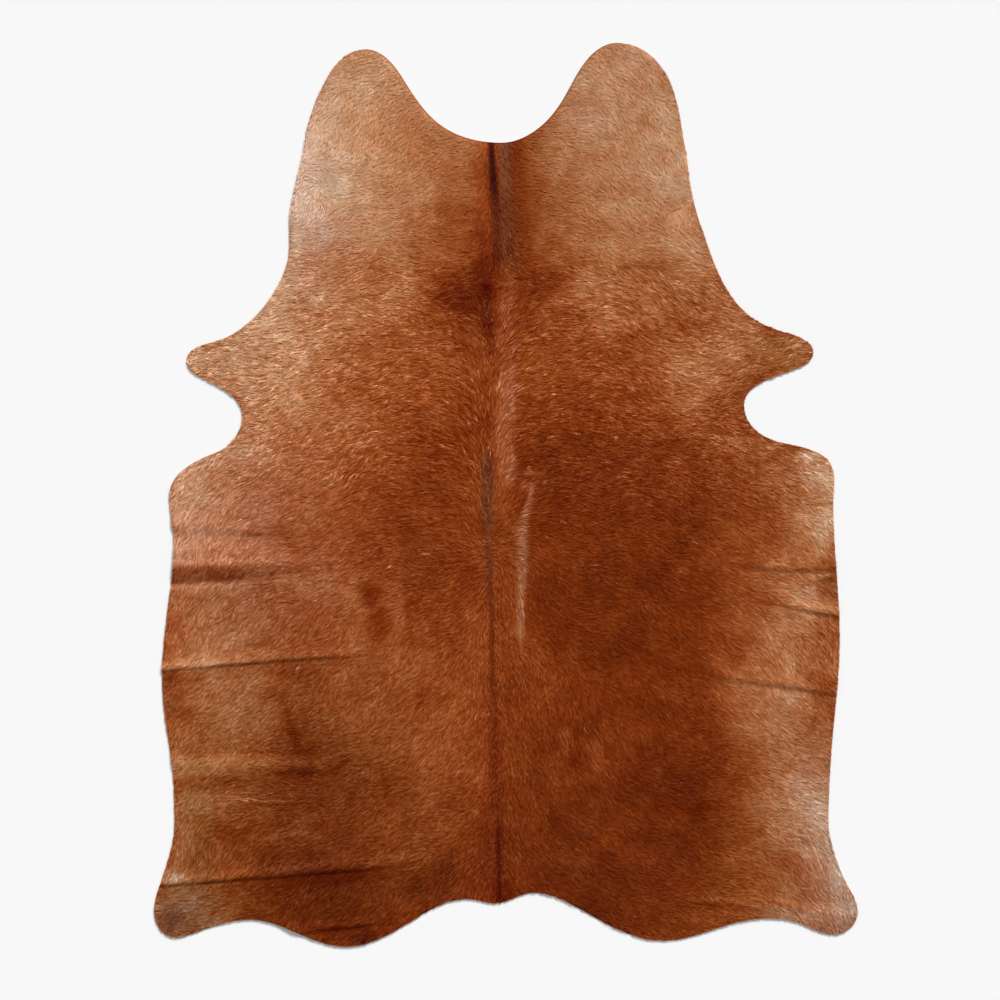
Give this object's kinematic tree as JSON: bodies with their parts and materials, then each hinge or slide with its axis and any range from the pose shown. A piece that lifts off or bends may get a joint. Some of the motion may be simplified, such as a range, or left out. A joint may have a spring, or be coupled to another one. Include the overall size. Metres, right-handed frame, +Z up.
{
  "type": "cowhide rug",
  "caption": "Whole hair-on cowhide floor rug with a natural outline: neck lobes, foreleg and hind-leg points, spine parting and soft packing folds.",
  "frame": {"origin": "middle of the rug's length and width, on the floor it lies on", "axes": "+Y along the spine towards the neck, +X to the right as seen from above, +Z up out of the hair side"},
  "size_m": [1.76, 2.262, 0.013],
  "materials": {
    "hide": "short chestnut-brown hair lying on the hide, with a satin sheen, and a pale suede flesh side below"
  },
  "bodies": {
    "root": {"hide": "hide"}
  },
  "joints": []
}
